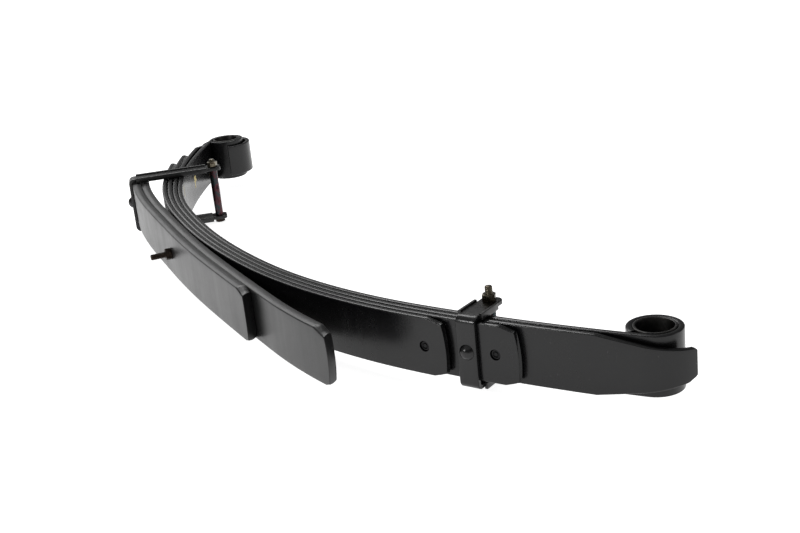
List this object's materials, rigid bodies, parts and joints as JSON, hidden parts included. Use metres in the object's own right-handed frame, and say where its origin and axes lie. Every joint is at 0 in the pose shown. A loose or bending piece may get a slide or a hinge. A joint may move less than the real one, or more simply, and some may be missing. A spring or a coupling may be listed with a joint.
{
  "type": "leaf spring",
  "caption": "Rear leaf spring pack: cambered main and wrapper leaves with two rolled eyes, thick flat overload leaves, a centre bolt and two riveted clips.",
  "frame": {"origin": "on the centre bolt's axis at mid width, where the bolt's head sits on the main leaf's concave face", "axes": "+X along the leaves at the axle seat towards the shackle (rear) eye, +Y along the centre bolt towards the concave side where the eyes are, +Z across the leaves' width; the pack lies on its side edge"},
  "size_m": [1.1489, 0.362, 0.1001],
  "materials": {
    "leaf_paint": "satin black paint",
    "overload_paint": "satin black paint",
    "clip_paint": "satin black paint",
    "liner_plastic": "black moulded plastic",
    "pad_plastic": "dark polished plastic",
    "zinc": "yellow zinc plate",
    "zinc_tube": "iridescent zinc plate",
    "bush_steel": "dark steel",
    "dark_bolt": "blackened steel"
  },
  "bodies": {
    "seat": {"main_leaf": "leaf_paint", "wrapper_leaf": "leaf_paint", "third_leaf": "leaf_paint", "fourth_leaf": "leaf_paint", "long_overload_leaf": "overload_paint", "short_overload_leaf": "overload_paint", "centre_bolt": "dark_bolt", "centre_nut": "dark_bolt", "front_clip_strap": "clip_paint", "front_clip_rivet": "clip_paint", "front_clip_bolt": "zinc", "front_clip_nut": "zinc", "front_clip_tube": "zinc_tube", "front_clip_upper_liner": "liner_plastic", "front_clip_lower_liner": "liner_plastic"},
    "rear_end": {"rear_eye_bush": "bush_steel", "third_leaf_rear_pad": "pad_plastic", "fourth_leaf_rear_pad": "pad_plastic", "rear_clip_strap": "clip_paint", "rear_clip_rivet": "clip_paint", "rear_clip_bolt": "zinc", "rear_clip_nut": "zinc", "rear_clip_tube": "zinc_tube", "rear_clip_upper_liner": "liner_plastic", "rear_clip_lower_liner": "liner_plastic"},
    "front_end": {"front_eye_bush": "bush_steel", "third_leaf_front_pad": "pad_plastic", "fourth_leaf_front_pad": "pad_plastic"}
  },
  "joints": [
    {"name": "rear_flex", "type": "hinge", "parent": "seat", "child": "rear_end", "pos_m": [0.1161, -0.0063, 0], "axis": [0, 0, 1], "range_deg": [-7, 1.5], "stiffness_Nm_per_rad": 5200, "deforming": ["main_leaf", "wrapper_leaf", "third_leaf", "fourth_leaf"]},
    {"name": "front_flex", "type": "hinge", "parent": "seat", "child": "front_end", "pos_m": [-0.0857, -0.01, 0], "axis": [0, 0, -1], "range_deg": [-7, 1.5], "stiffness_Nm_per_rad": 3600, "deforming": ["main_leaf", "wrapper_leaf", "third_leaf", "fourth_leaf"]}
  ]
}
